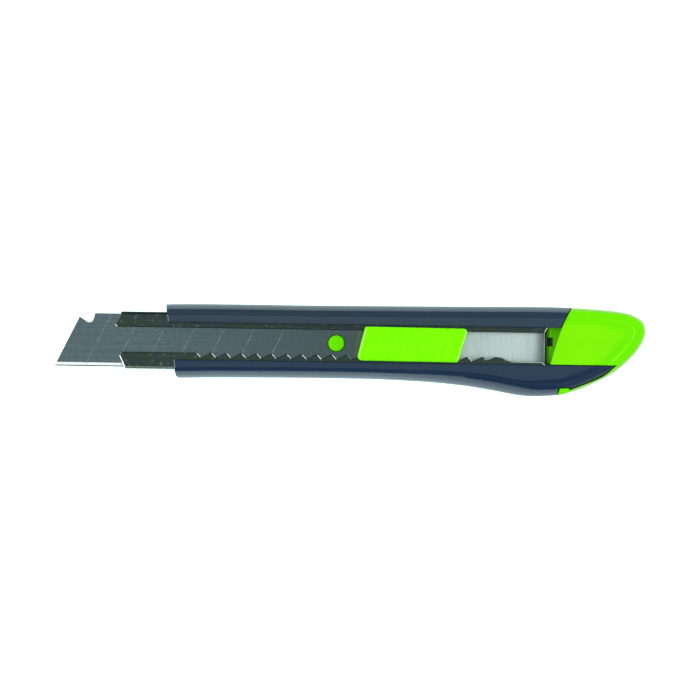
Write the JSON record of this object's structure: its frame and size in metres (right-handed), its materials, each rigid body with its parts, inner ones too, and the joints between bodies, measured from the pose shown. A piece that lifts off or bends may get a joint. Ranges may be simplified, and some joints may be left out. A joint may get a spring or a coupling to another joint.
{
  "type": "snap-off knife",
  "caption": "Snap-off knife: scored blade in a steel channel, self-locking thumb slider, moulded plastic handle and a pull-off end cap that snaps worn segments.",
  "frame": {"origin": "on the handle's flat back, under the centreline of the blade channel, halfway between the blade's tip and the cap's end", "axes": "+X along the knife towards the end cap, +Y towards the blade's spine, +Z out of the slider side"},
  "size_m": [0.2, 0.0304, 0.0148],
  "materials": {
    "handle_plastic": "glossy moulded navy plastic",
    "cap_plastic": "satin moulded lime green plastic",
    "channel_steel": "folded stainless sheet, brushed across",
    "blade_steel": "ground carbon steel, brushed lengthwise, bright edge",
    "plate_steel": "stamped sheet steel",
    "pin_plastic": "moulded lime green plastic",
    "spring_steel": "spring steel",
    "slider_plastic": "moulded lime green plastic with fine raised dots"
  },
  "bodies": {
    "handle": {"handle_body": "handle_plastic", "blade_channel": "channel_steel"},
    "carriage": {"blade": "blade_steel", "carrier_plate": "plate_steel", "blade_pin": "pin_plastic"},
    "lock": {"lock_spring": "spring_steel"},
    "button": {"thumb_slider": "slider_plastic"},
    "cap": {"end_cap": "cap_plastic"}
  },
  "joints": [
    {"name": "blade_slide", "type": "slide", "parent": "handle", "child": "carriage", "axis": [1, 0, 0], "range_m": [-0.0663, 0.0255]},
    {"name": "thumb_travel", "type": "slide", "parent": "carriage", "child": "button", "axis": [1, 0, 0], "range_m": [-0.0012, 0.0012], "stiffness_N_per_m": 1500},
    {"name": "lock_lift", "type": "hinge", "parent": "carriage", "child": "lock", "pos_m": [0.0325, -0.0056, 0.0079], "axis": [0, 0, -1], "range_deg": [0, 6], "stiffness_Nm_per_rad": 0.3},
    {"name": "cap_pull", "type": "slide", "parent": "handle", "child": "cap", "axis": [1, 0, 0], "range_m": [0, 0.03]}
  ]
}
